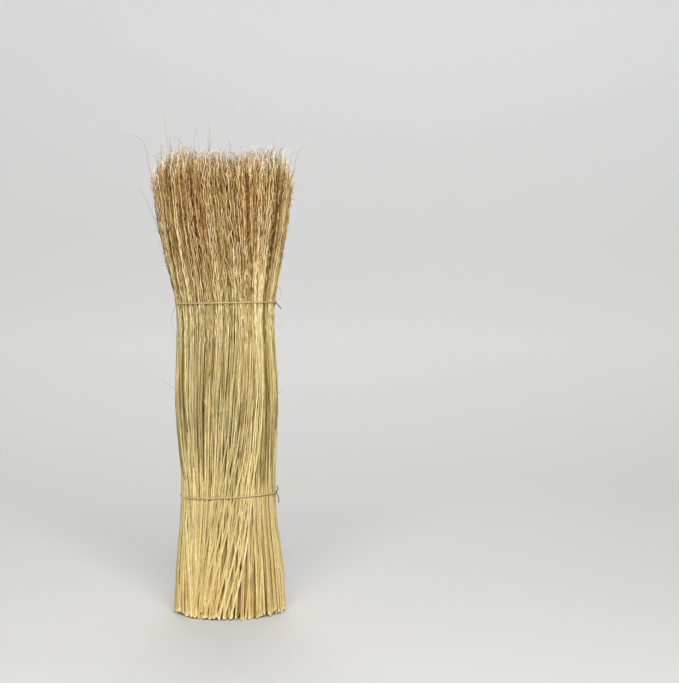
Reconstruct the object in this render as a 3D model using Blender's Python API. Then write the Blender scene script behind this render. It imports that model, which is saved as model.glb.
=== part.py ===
"""A tied bunch of broomcorn that stands on its cut ends, for Blender 4.5.

The bunch is a bundle of cut, threshed stalks. Each stalk is a straw stem that branches at its top
into a panicle of fine fibres. Fifty of the stalks round the outside are solids of their own, and
each lies in a groove of one solid that has the form of all the others packed together. Two ties of
thin twine hold the bundle. Lengths are in metres, angles in degrees from the front (-Y) towards +X,
and the origin is the middle of the foot on the ground.
"""

import math
import random

import bmesh
import bpy
from mathutils import Vector

# The bundle: height and outside radius, from the cut ends up to the brush
OUTSIDE = (
    (0.000, 0.0660),
    (0.030, 0.0648),
    (0.075, 0.0603),
    (0.140, 0.0558),
    (0.240, 0.0592),
    (0.320, 0.0597),
    (0.369, 0.0588),
    (0.430, 0.0715),
    (0.480, 0.0806),
    (0.515, 0.0836),
)
# The whole bundle leans a little to its left as it rises: height and place of its axis
AXIS = ((0.000, 0.0), (0.340, -0.0036), (0.430, -0.0066), (0.520, -0.0084))
# It is not quite round: how many waves, how deep as a share of the radius, and where they start
OUT_OF_ROUND = ((2, 0.010, 38.0), (3, 0.008, 115.0))

# Groups of stalks lean over their neighbours: middle and width of the group, and swing of its foot
LEANING_GROUPS = (
    (-57.0, 24.0, 12.0),
    (-2.0, 38.0, -24.0),
    (84.0, 34.0, 7.0),
    (140.0, 28.0, -9.0),
    (-156.0, 28.0, 9.0),
    (-106.0, 22.0, -6.0),
)
# Height, and the share of that swing which a stalk has there, counted from the lower tie
SWING = ((0.000, 0.41), (0.340, -0.59), (0.369, -0.59), (0.520, -0.24))

# Stalks
STALK_COUNT = 50
STALK_SIDES = 6
STEM_HALF_WIDTH = 0.0016
TUFT_HALF_WIDTH = 0.0026
TUFT_STARTS = 0.340
TUFT_FULL = 0.480
PLACE_JITTER = 0.06
WIDTH_JITTER = 0.06
CUT_RAGGED = 0.0018
# Heights at which the solids have a ring of vertices, one of them at each tie
LEVELS = (0.000, 0.045, 0.140, 0.250, 0.369, 0.410, 0.455, 0.510)
# Gap that touching pieces keep
GAP = 0.0003

# The top of the brush: where its tufts end, how uneven they are, and its low and high stretches,
# each as the angle of its middle, its width and how far it rises
BRUSH_TOP = 0.537
TUFT_UNEVEN = 0.009
TOP_STRETCHES = ((-82.0, 20.0, -0.012), (-42.0, 16.0, 0.006), (12.0, 14.0, -0.007), (150.0, 25.0, -0.006))
PRONG_OUTWARD = (-0.0005, 0.0025)

# The packed form of the other stalks: its grooves, to the half width of the stalk in each
GROOVE_OPENING = 1.12
GROOVE_EXTRA = 0.0005
GROOVE_DEPTH = 4.0
SHOULDER_DEPTH = 0.6
RIDGE_UNEVEN = 0.0004
# Its top: the rim inside the ridges, and the rings of tufts, as a share of the outside radius and a
# number of corners
RIM_SHARE = 0.84
RIDGE_TIP_INWARD = 0.25
TUFT_RINGS = ((0.62, 30), (0.36, 15), (0.13, 5))
TUFT_VALLEY = 0.508
INNER_TUFT_DROP = 0.020

# Ties: height at the axis, and how much higher the twine is at its right side than there
LOWER_TIE = (0.1405, 0.0023)
UPPER_TIE = (0.3690, 0.0008)
TWINE_RADIUS = 0.0009
TWINE_SIDES = 6
TIE_STATIONS = 44
# The knot: its angle, and its stations as an offset in degrees and a half thickness
KNOT_ANGLE = 84.0
KNOT = ((-3.6, 0.0009), (-1.9, 0.0019), (0.0, 0.0023), (1.9, 0.0019), (3.6, 0.0009))
# Tails of the twine: whether it starts upward, a bend and the tip
TAIL_HALF_WIDTH = 0.0008
LOWER_TAILS = (
    (True, (0.0602, -0.0045, 0.1470), (0.0600, -0.0045, 0.1510)),
    (False, (0.0606, -0.0050, 0.1385), (0.0632, -0.0052, 0.1295)),
)
UPPER_TAILS = ((False, (0.0608, -0.0045, 0.3655), (0.0650, -0.0050, 0.3615)),)

# Single fibres that stand out of the brush, each from the tuft nearest to it: a bend and the tip
STRAY_FIBRES = (
    ((-0.102, -0.008, 0.562), (-0.130, -0.010, 0.571)),
    ((-0.068, -0.064, 0.566), (-0.072, -0.068, 0.590)),
    ((-0.034, -0.080, 0.558), (-0.029, -0.082, 0.575)),
    ((-0.016, -0.082, 0.556), (-0.018, -0.083, 0.578)),
    ((0.084, -0.010, 0.550), (0.096, -0.010, 0.560)),
    ((0.058, 0.062, 0.552), (0.066, 0.072, 0.568)),
    ((-0.030, 0.084, 0.556), (-0.033, 0.090, 0.580)),
)
FIBRE_HALF_WIDTH = 0.0005

# Colour as sRGB, and roughness
STRAW = ("C9B077", 0.55)
SHADED_STRAW = ("BFA66B", 0.60)
TWINE = ("A08C60", 0.85)
# Edges flatter than this are shaded smooth
SMOOTH_BELOW = 65.0

SEED = 20


def clear_scene():
    for thing in list(bpy.data.objects):
        bpy.data.objects.remove(thing, do_unlink=True)


def dice_for(name):
    """Seeded chance of its own for each piece."""
    return random.Random(f"{name} {SEED}")


def straight_value(points, at):
    """Reads a line of straight runs through (place, value) points."""
    if at <= points[0][0]:
        return points[0][1]
    for (low, first), (high, second) in zip(points, points[1:]):
        if at <= high:
            return first + (second - first) * (at - low) / (high - low)
    return points[-1][1]


def smooth_value(points, at):
    """Reads a smooth curve through (place, value) points."""
    if at >= points[-1][0]:
        return points[-1][1]
    index = max(i for i in range(len(points) - 1) if points[i][0] <= at)

    def slope(i):
        before = points[max(i - 1, 0)]
        after = points[min(i + 1, len(points) - 1)]
        return (after[1] - before[1]) / (after[0] - before[0])

    low, first = points[index]
    high, second = points[index + 1]
    run = high - low
    t = (at - low) / run
    return (
        (2 * t**3 - 3 * t**2 + 1) * first
        + (t**3 - 2 * t**2 + t) * run * slope(index)
        + (3 * t**2 - 2 * t**3) * second
        + (t**3 - t**2) * run * slope(index + 1)
    )


# The solids run straight from level to level, so the outside is read in the same way
OUTSIDE_AT_LEVELS = [(level, smooth_value(OUTSIDE, level)) for level in LEVELS]


def outside_radius(angle, height):
    radius = straight_value(OUTSIDE_AT_LEVELS, height)
    for waves, depth, start in OUT_OF_ROUND:
        radius *= 1 + depth * math.sin(math.radians(waves * angle + start))
    return radius


def outward(angle):
    turn = math.radians(angle)
    return Vector((math.sin(turn), -math.cos(turn), 0.0))


def axis_point(height):
    return Vector((straight_value(AXIS, height), 0.0, height))


def place(angle, height, depth):
    """A point this deep under the outside of the bundle."""
    return axis_point(height) + outward(angle) * (outside_radius(angle, height) - depth)


def angle_of(point):
    """The angle at which a point is seen from the bundle's axis, between -180 and 180."""
    return math.degrees(math.atan2(point.x - axis_point(point.z).x, -point.y))


def leaning(angle):
    """How many degrees the foot of a stalk swings against its top."""
    swing = 0.0
    for middle, width, foot_swing in LEANING_GROUPS:
        off = (angle - middle + 180.0) % 360.0 - 180.0
        swing += foot_swing * math.exp(-((off / width) ** 2))
    return swing


def stalk_angles():
    """Each stalk's angle at the lower tie, evenly spread and then moved a little."""
    pitch = 360.0 / STALK_COUNT
    dice = dice_for("places")
    return [pitch * (i + dice.uniform(-PLACE_JITTER, PLACE_JITTER)) for i in range(STALK_COUNT)]


def stalk_angle(start, height):
    return start + leaning(start) * straight_value(SWING, height)


def stalk_half_width(index, height):
    """A round stem, then a tuft that widens up the brush."""
    stem = STEM_HALF_WIDTH * (1 + dice_for(f"width {index}").uniform(-WIDTH_JITTER, WIDTH_JITTER))
    share = min(max((height - TUFT_STARTS) / (TUFT_FULL - TUFT_STARTS), 0.0), 1.0)
    return stem + (TUFT_HALF_WIDTH - STEM_HALF_WIDTH) * share


def tuft_height(angle, dice):
    """Where a tuft at the rim of the brush ends."""
    height = BRUSH_TOP + dice.uniform(-TUFT_UNEVEN, TUFT_UNEVEN)
    for middle, width, rise in TOP_STRETCHES:
        height += rise * math.exp(-(((angle - middle) / width) ** 2))
    return height


def start_ring(solid, places, capped):
    """The first ring of vertices, with a face in it or open."""
    ring = bmesh.ops.create_circle(solid, cap_ends=capped, segments=len(places), radius=GAP)["verts"]
    for vertex, spot in zip(ring, places):
        vertex.co = spot
    return ring


def ring_edges(solid, ring):
    return [solid.edges.get((here, there)) for here, there in zip(ring, ring[1:] + ring[:1])]


def lift_ring(solid, ring, places):
    """Extrudes a ring of vertices and puts each new vertex in its place."""
    raised = bmesh.ops.extrude_edge_only(solid, edges=ring_edges(solid, ring))["geom"]
    fresh = {thing for thing in raised if isinstance(thing, bmesh.types.BMVert)}
    risen = []
    for vertex, spot in zip(ring, places):
        above = next(e.other_vert(vertex) for e in vertex.link_edges if e.other_vert(vertex) in fresh)
        above.co = spot
        risen.append(above)
    return risen


def join_rings(solid, outer, inner):
    """Fills the band between two rings that may have unlike numbers of corners."""
    faces = []
    out = 0
    into = 0
    while out < len(outer) or into < len(inner):
        here = outer[out % len(outer)]
        there = inner[into % len(inner)]
        if (out + 1) / len(outer) <= (into + 1) / len(inner):
            out += 1
            corners = (here, outer[out % len(outer)], there)
        else:
            into += 1
            corners = (here, inner[into % len(inner)], there)
        faces.append(solid.faces.new(corners))
    return faces


def draw_out(solid, face, stations, tip):
    """Extrudes a face through stations of (middle, half width), and ends it in a point."""
    for middle, half_width in stations:
        face = bmesh.ops.extrude_discrete_faces(solid, faces=[face])["faces"][0]
        centre = face.calc_center_median()
        reach = max((vertex.co - centre).length for vertex in face.verts)
        for vertex in face.verts:
            vertex.co = Vector(middle) + (vertex.co - centre) * (half_width / reach)
    point = bmesh.ops.poke(solid, faces=[face])["verts"][0]
    point.co = Vector(tip)


def linear_colour(text):
    """An sRGB hex colour, as the linear values that a shader takes."""
    parts = [int(text[i : i + 2], 16) / 255 for i in (0, 2, 4)]
    linear = [p / 12.92 if p <= 0.04045 else ((p + 0.055) / 1.055) ** 2.4 for p in parts]
    return (*linear, 1.0)


def finish(name, solid, look):
    """Turns a closed shape into a named object with its own material."""
    bmesh.ops.recalc_face_normals(solid, faces=solid.faces)
    if solid.calc_volume(signed=True) < 0:
        bmesh.ops.reverse_faces(solid, faces=solid.faces)
    mesh = bpy.data.meshes.new(name)
    solid.to_mesh(mesh)
    solid.free()
    mesh.shade_smooth()
    mesh.set_sharp_from_angle(angle=math.radians(SMOOTH_BELOW))
    material = bpy.data.materials.new(name)
    material.use_nodes = True
    shader = material.node_tree.nodes["Principled BSDF"]
    colour, roughness = look
    shader.inputs["Base Color"].default_value = linear_colour(colour)
    shader.inputs["Roughness"].default_value = roughness
    shader.inputs["Metallic"].default_value = 0.0
    mesh.materials.append(material)
    bpy.context.scene.collection.objects.link(bpy.data.objects.new(name, mesh))


def stalk_ring(index, start, height):
    """Corners round a stalk, with one flat side at the outside of the bundle."""
    angle = stalk_angle(start, height)
    half_width = stalk_half_width(index, height)
    half_side = math.pi / STALK_SIDES
    corners = []
    for corner in range(STALK_SIDES):
        turn = half_side + 2 * half_side * corner
        depth = half_width * (math.cos(half_side) - math.cos(turn))
        side = math.degrees(half_width * math.sin(turn) / outside_radius(angle, height))
        corners.append(place(angle + side, height, depth))
    return corners


def strays_by_stalk(starts):
    """Gives each stray fibre to the stalk whose tuft is nearest to its bend."""
    tufts = [place(stalk_angle(start, LEVELS[-1]), LEVELS[-1], 0.0) for start in starts]
    owners = {}
    for bend, tip in STRAY_FIBRES:
        nearest = min(range(STALK_COUNT), key=lambda i: (tufts[i] - Vector(bend)).length)
        owners[nearest] = (bend, tip)
    return owners


def outer_stalk(index, start, stray):
    """One whole stalk: cut end, stem, and a tuft that ends in two prongs."""
    dice = dice_for(f"stalk {index}")
    solid = bmesh.new()
    cut = Vector((0.0, 0.0, dice.uniform(0.0, CUT_RAGGED)))
    ring = start_ring(solid, [corner + cut for corner in stalk_ring(index, start, LEVELS[0])], True)
    for height in LEVELS[1:]:
        ring = lift_ring(solid, ring, stalk_ring(index, start, height))
    halves = [solid.faces.new(ring[:4]), solid.faces.new(ring[3:] + ring[:1])]
    tips = []
    for half in halves:
        tip = half.calc_center_median()
        angle = angle_of(tip)
        tip += outward(angle) * dice.uniform(*PRONG_OUTWARD)
        tip.z = tuft_height(angle, dice)
        tips.append(tip)
    if stray:
        bend, end = stray
        draw_out(solid, halves[0], ((tips[0], 1.6 * FIBRE_HALF_WIDTH), (bend, FIBRE_HALF_WIDTH)), end)
    else:
        draw_out(solid, halves[0], (), tips[0])
    draw_out(solid, halves[1], (), tips[1])
    finish(f"stalk_{index + 1:02d}", solid, STRAW)


def shoulder(index, start, height, side):
    """Angle and depth of the edge of a stalk's groove, on its left (-1) or right (1) side."""
    half_width = stalk_half_width(index, height)
    angle = stalk_angle(start, height)
    depth = SHOULDER_DEPTH * half_width
    opening = GROOVE_OPENING * half_width + GROOVE_EXTRA
    return angle + side * math.degrees(opening / (outside_radius(angle, height) - depth)), depth


def packed_ring(starts, height):
    """Groove, shoulder, ridge and shoulder for each outer stalk in turn."""
    dice = dice_for("ridges")
    corners = []
    for index, start in enumerate(starts):
        following = (index + 1) % STALK_COUNT
        next_start = starts[following] + (360.0 if following == 0 else 0.0)
        groove_depth = GROOVE_DEPTH * stalk_half_width(index, height)
        near, near_depth = shoulder(index, start, height, 1)
        far, far_depth = shoulder(following, next_start, height, -1)
        corners += [
            place(stalk_angle(start, height), height, groove_depth),
            place(near, height, near_depth),
            place((near + far) / 2, height, dice.uniform(0.0, RIDGE_UNEVEN)),
            place(far, height, far_depth),
        ]
    return corners


def inner_stalks(starts):
    """The other stalks packed together: grooved sides, a flat cut foot and a top of tufts."""
    dice = dice_for("inner tufts")
    solid = bmesh.new()
    ring = start_ring(solid, packed_ring(starts, LEVELS[0]), True)
    for height in LEVELS[1:]:
        ring = lift_ring(solid, ring, packed_ring(starts, height))
    crown_tufts(solid, ring, dice)
    finish("inner_stalks", solid, SHADED_STRAW)


def crown_tufts(solid, ring, dice):
    """One pointed tuft on each ridge, and rings of them over the middle of the brush."""
    middle = axis_point(TUFT_VALLEY)
    rim = []
    for ridge in ring[2::4]:
        inward = middle.lerp(Vector((ridge.co.x, ridge.co.y, TUFT_VALLEY)), RIM_SHARE)
        rim.append(solid.verts.new(inward))
    for index, inside in enumerate(rim):
        flute = ring[4 * index : 4 * index + 4]
        next_groove = ring[(4 * index + 4) % len(ring)]
        tip = flute[2].co.lerp(inside.co, RIDGE_TIP_INWARD)
        tip.z = tuft_height(angle_of(tip), dice)
        draw_out(solid, solid.faces.new((*flute, next_groove, inside)), (), tip)
        solid.faces.new((inside, next_groove, rim[(index + 1) % len(rim)]))
    field = []
    outer = rim
    for share, corners in TUFT_RINGS:
        radius = share * smooth_value(OUTSIDE, TUFT_VALLEY)
        spots = [middle + outward(360.0 * i / corners) * radius for i in range(corners)]
        inner = start_ring(solid, spots, False)
        field += join_rings(solid, outer, inner)
        outer = inner
    field.append(solid.faces.new(outer))
    for face in field:
        tip = face.calc_center_median()
        tip.z = BRUSH_TOP + dice.uniform(-INNER_TUFT_DROP, TUFT_UNEVEN)
        draw_out(solid, face, (), tip)


def twine_ring(angle, level, tilt, twine):
    """Corners round the twine where it lies on the stalks at this angle."""
    out = outward(angle)
    height = level + tilt * out.x
    widest = max(outside_radius(angle, height + step) for step in (-twine, 0.0, twine))
    sag_of_a_straight_run = widest * (1 - math.cos(math.pi / TIE_STATIONS))
    middle = axis_point(height) + out * (widest + GAP + sag_of_a_straight_run + twine)
    turns = [2 * math.pi * i / TWINE_SIDES for i in range(TWINE_SIDES)]
    return [middle + twine * (out * math.cos(t) + Vector((0.0, 0.0, math.sin(t)))) for t in turns]


def tie(name, level, tilt, tails):
    """A loop of twine with its knot at the right side and its tails."""
    solid = bmesh.new()
    rings = [twine_ring(KNOT_ANGLE + off, level, tilt, twine) for off, twine in KNOT]
    for station in range(1, TIE_STATIONS):
        angle = KNOT_ANGLE + 360.0 * station / TIE_STATIONS
        rings.append(twine_ring(angle, level, tilt, TWINE_RADIUS))
    loop = [start_ring(solid, rings[0], False)]
    for places in rings[1:]:
        loop.append(lift_ring(solid, loop[-1], places))
    bmesh.ops.bridge_loops(solid, edges=ring_edges(solid, loop[0]) + ring_edges(solid, loop[-1]))
    knot = loop[len(KNOT) // 2]
    after_knot = loop[len(KNOT) // 2 + 1]
    for upward, bend, tip in tails:
        sides = (1, 2) if upward else (4, 5)
        corners = {knot[sides[0]], knot[sides[1]], after_knot[sides[0]], after_knot[sides[1]]}
        face = next(face for face in knot[sides[0]].link_faces if set(face.verts) == corners)
        draw_out(solid, face, ((bend, TAIL_HALF_WIDTH),), tip)
    finish(name, solid, TWINE)


def build():
    clear_scene()
    starts = stalk_angles()
    strays = strays_by_stalk(starts)
    inner_stalks(starts)
    for index, start in enumerate(starts):
        outer_stalk(index, start, strays.get(index))
    tie("lower_tie", *LOWER_TIE, LOWER_TAILS)
    tie("upper_tie", *UPPER_TIE, UPPER_TAILS)


build()
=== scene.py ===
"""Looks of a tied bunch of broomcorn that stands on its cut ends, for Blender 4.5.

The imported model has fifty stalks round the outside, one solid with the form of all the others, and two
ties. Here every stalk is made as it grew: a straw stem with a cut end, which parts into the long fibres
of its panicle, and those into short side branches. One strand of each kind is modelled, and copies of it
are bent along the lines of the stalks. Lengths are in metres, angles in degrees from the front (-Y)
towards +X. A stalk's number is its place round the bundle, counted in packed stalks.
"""

import math
from collections import namedtuple
from functools import cache

import bpy
import numpy as np
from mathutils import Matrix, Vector


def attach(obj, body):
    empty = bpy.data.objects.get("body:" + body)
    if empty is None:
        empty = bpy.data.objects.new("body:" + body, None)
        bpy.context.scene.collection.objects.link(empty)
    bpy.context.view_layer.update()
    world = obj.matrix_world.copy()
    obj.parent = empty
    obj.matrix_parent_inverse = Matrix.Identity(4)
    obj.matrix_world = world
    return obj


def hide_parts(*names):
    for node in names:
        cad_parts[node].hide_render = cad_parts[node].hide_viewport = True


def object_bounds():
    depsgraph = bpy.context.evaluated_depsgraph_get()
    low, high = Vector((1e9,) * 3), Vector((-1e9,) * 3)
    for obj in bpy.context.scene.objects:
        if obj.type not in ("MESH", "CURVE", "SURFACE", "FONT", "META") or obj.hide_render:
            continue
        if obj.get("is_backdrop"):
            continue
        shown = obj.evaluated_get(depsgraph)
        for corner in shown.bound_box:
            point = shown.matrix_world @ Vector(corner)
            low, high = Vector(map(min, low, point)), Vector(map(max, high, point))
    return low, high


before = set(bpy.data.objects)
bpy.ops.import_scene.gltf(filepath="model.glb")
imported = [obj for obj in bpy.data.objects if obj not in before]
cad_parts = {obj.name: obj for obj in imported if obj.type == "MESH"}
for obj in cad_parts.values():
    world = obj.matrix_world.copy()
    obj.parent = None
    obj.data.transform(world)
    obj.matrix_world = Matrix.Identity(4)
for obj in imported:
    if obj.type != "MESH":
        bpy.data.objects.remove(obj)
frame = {"nodes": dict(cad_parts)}

# The photograph's width and its view: focal length in its pixels, place of the camera, tilt down
PHOTO_WIDTH = 679
FOCAL_PIXELS = 1630.0
CAMERA_PLACE = (0.132, -1.950, 0.372)
CAMERA_DOWN = 1.45
SENSOR_MM = 36.0

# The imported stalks: how many, and the heights at which each has a ring of corners
STALK_COUNT = 50
LEVELS = (0.000, 0.045, 0.140, 0.250, 0.369, 0.410, 0.455, 0.510)
RING_TOLERANCE = 0.0002
GRID_STEP = 0.005
GRID_TOP = 0.620
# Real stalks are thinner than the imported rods, so they stand further out by this much at each height
STAND_OUT = (
    (0.000, 0.0015),
    (0.140, 0.0013),
    (0.200, 0.0018),
    (0.330, 0.0020),
    (0.369, 0.0006),
    (0.430, 0.0),
)

# Stems. Most are cut off near the floor, and some higher
STEM_HALF_WIDTH = 0.00165
STEM_WIDTH_VARIES = 0.15
# Share of its width that a stem keeps at the lower tie, where its fibres part from it, and at its tip
STEM_NARROWS = (0.75, 0.50, 0.12)
# How ragged the cuts are, the share of high ones, how much higher they go, and how far a cut slants
CUT_RAGGED = 0.0022
HIGH_CUTS = 0.35
HIGH_CUT_RISE = 0.0065
CUT_SLANT = 0.95
# Share of its half width that the lowest point of a cut keeps off the floor
CUT_OFF_FLOOR = 0.15
# The pith is set in from the rind by this share of the half width, and up by this share of a ring
PITH_INSET = 0.26
PITH_SUNK = 0.02
# The cut has frayed and bleached the end of a stem, up to this height and by these steps of tint
FRAYED_END = 0.0045
FRAYED_LIGHTER = 0.9
# How much of its stalk's own lightness a stem has
STEM_SHOWS = 0.65
# Where the fibres part from a stem, how far it goes on between them, and how far it bows
PARTING = (0.135, 0.275)
STEM_ENDS_ABOVE_PARTING = 0.090
BOW = 0.0006

# Rows of stalks from the outside in: distance between the rows, and between the stalks of a row
ROW_DEPTH = 0.00295
ROW_SPACING = 0.00352
# Height, and the share of a stalk's own sway to the side that it has there
SWAY = (
    (0.000, 0.60),
    (0.140, 0.0),
    (0.200, -0.24),
    (0.330, -0.42),
    (0.369, -0.35),
    (0.430, -0.10),
    (0.540, 0.0),
)
# Height, and the share of a stem's half width that a stalk which sways this far lies over the others
LIFT = ((0.000, 0.8), (0.100, 0.5), (0.140, 0.0), (0.230, 1.0), (0.320, 0.6), (0.369, 0.0))
FULL_LIFT_SWAY = 2.0
# Groups that lean together: angle of the middle, width, and sway in stalks
LEANING_GROUPS = (
    (-56.0, 20.0, 5.8),
    (0.0, 22.0, -5.4),
    (30.0, 18.0, -4.5),
    (85.0, 18.0, 1.6),
    (128.0, 24.0, -3.2),
    (180.0, 20.0, 3.0),
    (-128.0, 22.0, -2.6),
)
LEANS_VARY = (0.85, 1.12)
# Between these angles at the lower tie two groups part, and the upright stalks between them lie deeper
PARTED = (-37.0, -11.0)
PARTED_DEEPER = 0.035
# Upright stalks fill three openings: angle, height, reach in stalks and count, and how far out they lie
OPENINGS = (((-20.0, 0.300), 3.4, 17), ((30.0, 0.040), 3.0, 11), ((-64.0, 0.030), 2.4, 6))
OPENING_SHARE = (0.958, 0.992)

# Fibres of the panicle: half width, and how it changes along the fibre
FIBRE_HALF_WIDTH = 0.00060
FIBRE_WIDTH_VARIES = 0.28
FIBRE_TAPER = ((0.0, 0.45), (0.12, 0.9), (0.40, 1.0), (0.80, 0.85), (0.94, 0.50), (1.0, 0.20))
# How far below or above the parting of its stalk a fibre leaves the stem
FIBRES_LEAVE = (-0.012, 0.035)
# Height, and how far the fibres of a stalk spread over its share of the row
SPREAD = ((0.120, 0.60), (0.220, 0.90), (0.300, 1.00), (0.369, 1.15), (0.450, 1.40), (0.540, 1.70))
# Height, and how far the kinks of a fibre go to the side
KINKS = ((0.150, 0.00008), (0.300, 0.00025), (0.369, 0.00042), (0.420, 0.00055), (0.540, 0.00085))
# Height, and how far its long waves go, which are as long as this many rings
WAVES = ((0.250, 0.0002), (0.369, 0.0003), (0.430, 0.0003), (0.540, 0.0006))
RINGS_IN_A_WAVE = 5
WAVES_SHARED = 0.4
# Below its waves a fibre has this many rings, over at least this length
STRAIGHT_RINGS = 4
STRAIGHT_LENGTH = 0.03
# Share of all these that goes out of the row rather than along it
MOVES_OUT = 0.6
# The last stretch of a fibre curls out of the tuft
CURL_LENGTH = 0.035
CURL = 0.0040
# Place of a fibre in its row, from its back to its front, and how light the fibre is, in steps of tint:
# painted shade that darkens the fibres at the back of a row
PAINTED_SHADE_BY_DEPTH = ((-0.50, -3.2), (-0.10, -2.4), (0.05, -0.9), (0.50, 0.1))
# How much of its stalk's lightness and hue a fibre has, and how much the fibres differ in both
STALK_SHOWS = 0.8
STALK_HUE_SHOWS = 0.6
FIBRES_DIFFER = 0.42
FIBRE_HUES_DIFFER = 0.30
# Share of the fibres that are weathered dark, and by how much
DARK_FIBRES = (0.16, -2.2)
# How much a fibre's lightness changes at random from ring to ring: its own mottling, and painted short
# highlights and shade, as if its kinks caught and lost the light
MOTTLE_AND_PAINTED_GLINTS = 0.70
TINT_LIMITS = (-5.0, 1.0)
# Height, and how much more the fibres differ there, in their own lightness and in their painted shade by
# depth
CONTRAST_BY_HEIGHT = ((0.150, 0.3), (0.190, 0.6), (0.245, 1.20), (0.340, 1.1), (0.420, 1.9))
# Height, and the share of its row's painted shade that a strand has there: painted darker, or below zero
# painted lighter
SHADE_BY_HEIGHT = (
    (0.000, 0.30),
    (0.100, -0.05),
    (0.140, -0.25),
    (0.190, -0.30),
    (0.250, 0.20),
    (0.430, 1.25),
)
# How far below its tip the painted shade of an inner fibre begins, for the shade among the tufts, and where
# it is darkest
PAINTED_SHADE_BELOW_TIP = (0.010, 0.038)
# From this far below its tip a fibre gets lighter towards the tip, by this many steps of tint
LIGHTER_FROM_BELOW_TIP = 0.022
TIPS_LIGHTER = 2.4
# The next fibre of a stalk is this share of its room further along the row, and up to this much more
GOLDEN_STEP = 0.618
STEP_VARIES = 0.12

# Top of the brush: where its tufts end, and angle, width and rise of its low and high stretches
BRUSH_TOP = 0.5345
TOP_STRETCHES = (
    (-88.0, 28.0, -0.027),
    (-40.0, 16.0, 0.006),
    (12.0, 14.0, -0.008),
    (95.0, 22.0, -0.019),
    (150.0, 25.0, -0.006),
)
TUFT_UNEVEN = 0.0038
TOP_UNEVEN = 0.0055
LONG_FIBRES = 0.06
LONG_FIBRE_RISE = (0.004, 0.014)

# Side branches near the tips: half width at the root, the share of it that is left at the tip, length
BRANCH_HALF_WIDTH = 0.00024
BRANCH_NARROWS = 0.5
BRANCH_LENGTH = (0.006, 0.017)
# In radians: angle at which a branch leaves its fibre, how far it curls, and how much it kinks
BRANCH_LEAVES = (0.10, 0.90)
BRANCH_CURLS = (0.20, 2.60)
BRANCH_KINKS = 0.15
BRANCH_RINGS = 5
# Branches leave a fibre above this share of it, as near its tip as this, and crowd there by this power
BRANCHES_FROM = 0.50
FIRST_BELOW_TIP = 0.03
BRANCHES_CROWD = 1.5
# Share of the way up a fibre from which its branches are darker, and by how much
BRANCHES_DARKEN_AT = 0.90
BRANCHES_DARKER = -0.8

# Ties: height at the axis, and how much higher the twine is than there at its right side and in front
LOWER_TIE = (0.1405, 0.0023, 0.0014)
UPPER_TIE = (0.3690, 0.0008, 0.0)
KNOT_ANGLE = 84.0
# Stalks lie over the lower twine here: middle and width of the stretch, and how far the twine dips
TWINE_DIP = (291.0, 9.0, 0.0032)
# Two plies make the twine: distance of each from its middle, half width of a ply, length of a turn
PLY_OFF = 0.00043
PLY_HALF_WIDTH = 0.00050
TWINE_TURN = 0.0046
POINTS_IN_A_TURN = 10
# Corners of a cap that are this close to those of its strand are joined to them
CAP_GAP = 0.000002
# The tails are thinner than the twine, where its plies have come loose
TAIL_GIRTH = 0.88
KNOT_RADIUS = 0.00125
KNOT_TURNS = 2.5
KNOT_LENGTH = 0.0036
# Points on the line of a tie, of its knot and of a tail
TIE_POINTS = 721
KNOT_POINTS = 24
TAIL_POINTS = 16
# Hairs of the twine: how many, length, bend, and width as a share of a ply's
TWINE_HAIRS = 70
HAIR_LENGTH = (0.0012, 0.0034)
HAIR_BEND = 0.0004
HAIR_GIRTH = 0.16
# Tails of the two knots, each as a bend and its end
LOWER_TAILS = (
    ((0.0584, -0.0048, 0.1462), (0.0572, -0.0050, 0.1500)),
    ((0.0584, -0.0052, 0.1385), (0.0594, -0.0055, 0.1300)),
)
UPPER_TAILS = (((0.0592, -0.0045, 0.3660), (0.0622, -0.0050, 0.3618)),)

# Single fibres that stand out of the brush, each from the stalk whose tuft is nearest: a bend, the tip
STRAY_FIBRES = (
    ((-0.102, -0.008, 0.562), (-0.130, -0.010, 0.571)),
    ((-0.068, -0.064, 0.566), (-0.072, -0.068, 0.590)),
    ((-0.034, -0.080, 0.558), (-0.029, -0.082, 0.575)),
    ((-0.016, -0.082, 0.556), (-0.018, -0.083, 0.578)),
    ((0.084, -0.010, 0.550), (0.096, -0.010, 0.560)),
    ((0.058, 0.062, 0.552), (0.066, 0.072, 0.568)),
    ((-0.030, 0.084, 0.556), (-0.033, 0.090, 0.580)),
)
# Heights at which one runs in its tuft, and how far on the way from there to its bend it is guided
STRAY_ROOTS = (0.44, 0.50)
TOWARDS_BEND = 0.55
# Broken and loose fibres round the bundle
LOOSE_FIBRES = (
    (
        (-0.080, -0.006, 0.445),
        (-0.0909, -0.008, 0.4752),
        (-0.1017, -0.010, 0.4992),
        (-0.1076, -0.011, 0.5075),
    ),
    ((-0.060, -0.008, 0.372), (-0.0658, -0.010, 0.358), (-0.0682, -0.010, 0.346), (-0.0634, -0.008, 0.334)),
    ((0.0562, -0.006, 0.390), (0.0622, -0.008, 0.383), (0.0610, -0.008, 0.375), (0.0574, -0.006, 0.371)),
    ((-0.0600, -0.010, 0.264), (-0.0680, -0.012, 0.269), (-0.0801, -0.014, 0.278)),
    ((0.0560, -0.010, 0.258), (0.0610, -0.012, 0.263), (0.0670, -0.014, 0.266)),
    ((0.0520, -0.012, 0.150), (0.0574, -0.014, 0.095), (0.0640, -0.014, 0.060), (0.0694, -0.014, 0.035)),
    ((-0.0180, -0.0570, 0.239), (-0.0060, -0.0610, 0.241), (0.0090, -0.0600, 0.245)),
    ((-0.0230, -0.0555, 0.235), (-0.0120, -0.0605, 0.238), (-0.0040, -0.0590, 0.237)),
)
# Half width, tint and hue of both kinds, how many rings they have, and how much they narrow
STRAY_LOOK = (0.00050, -3.0, 0.0)
LOOSE_LOOK = (0.00034, -2.2, 0.0)
LOOSE_RINGS = 16
LOOSE_NARROWS = 0.35

# Seed of all chance, and the numbers that give the rows and the twines their own
SEED = 20
ROWS_SEED = 100
TWINES_SEED = 200

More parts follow.
